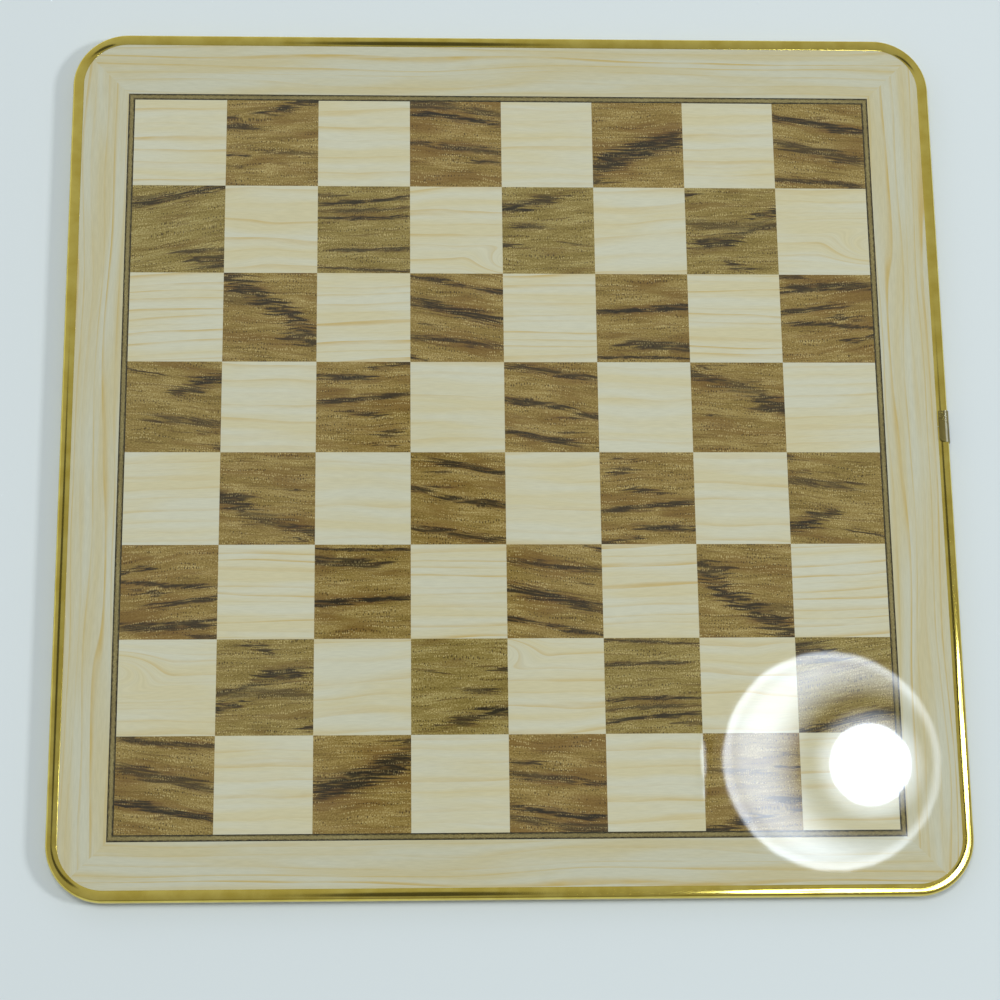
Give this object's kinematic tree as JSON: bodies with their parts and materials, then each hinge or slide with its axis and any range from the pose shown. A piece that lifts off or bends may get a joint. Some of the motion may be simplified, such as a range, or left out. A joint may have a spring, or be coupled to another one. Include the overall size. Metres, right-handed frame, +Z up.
{
  "type": "chess board",
  "caption": "Flat one-piece chess board: glossy printed wood-figure squares with a mitred pale border, edged with a half-round brass channel joined under a crimped sleeve.",
  "frame": {"origin": "on the table under the middle of the board", "axes": "+Z up out of the playing face, +X to the right of the player who sits at -Y, whose right-hand corner square is light"},
  "size_m": [0.3784, 0.378, 0.0074],
  "materials": {
    "core": "raw fibreboard, sawn and sanded",
    "backing": "matt dark brown balancing paper",
    "light_print": "maple-figure print under a high-gloss clear face",
    "dark_print": "rosewood-figure print under a high-gloss clear face",
    "border_print": "maple-figure print with mitred corners, high gloss",
    "line_print": "dark stringing print, high gloss",
    "brass": "polished and lacquered",
    "sleeve_brass": "antique brass, satin",
    "felt": "pressed felt"
  },
  "bodies": {
    "root": {"core_panel": "core", "back_sheet": "backing", "rank_1_dark_squares": "dark_print", "rank_1_light_squares": "light_print", "rank_2_dark_squares": "dark_print", "rank_2_light_squares": "light_print", "rank_3_dark_squares": "dark_print", "rank_3_light_squares": "light_print", "rank_4_dark_squares": "dark_print", "rank_4_light_squares": "light_print", "rank_5_dark_squares": "dark_print", "rank_5_light_squares": "light_print", "rank_6_dark_squares": "dark_print", "rank_6_light_squares": "light_print", "rank_7_dark_squares": "dark_print", "rank_7_light_squares": "light_print", "rank_8_dark_squares": "dark_print", "rank_8_light_squares": "light_print", "right_line": "line_print", "right_border": "border_print", "far_line": "line_print", "far_border": "border_print", "left_line": "line_print", "left_border": "border_print", "near_line": "line_print", "near_border": "border_print", "edge_bead": "brass", "joint_sleeve": "sleeve_brass", "felt_pads": "felt"}
  },
  "joints": []
}
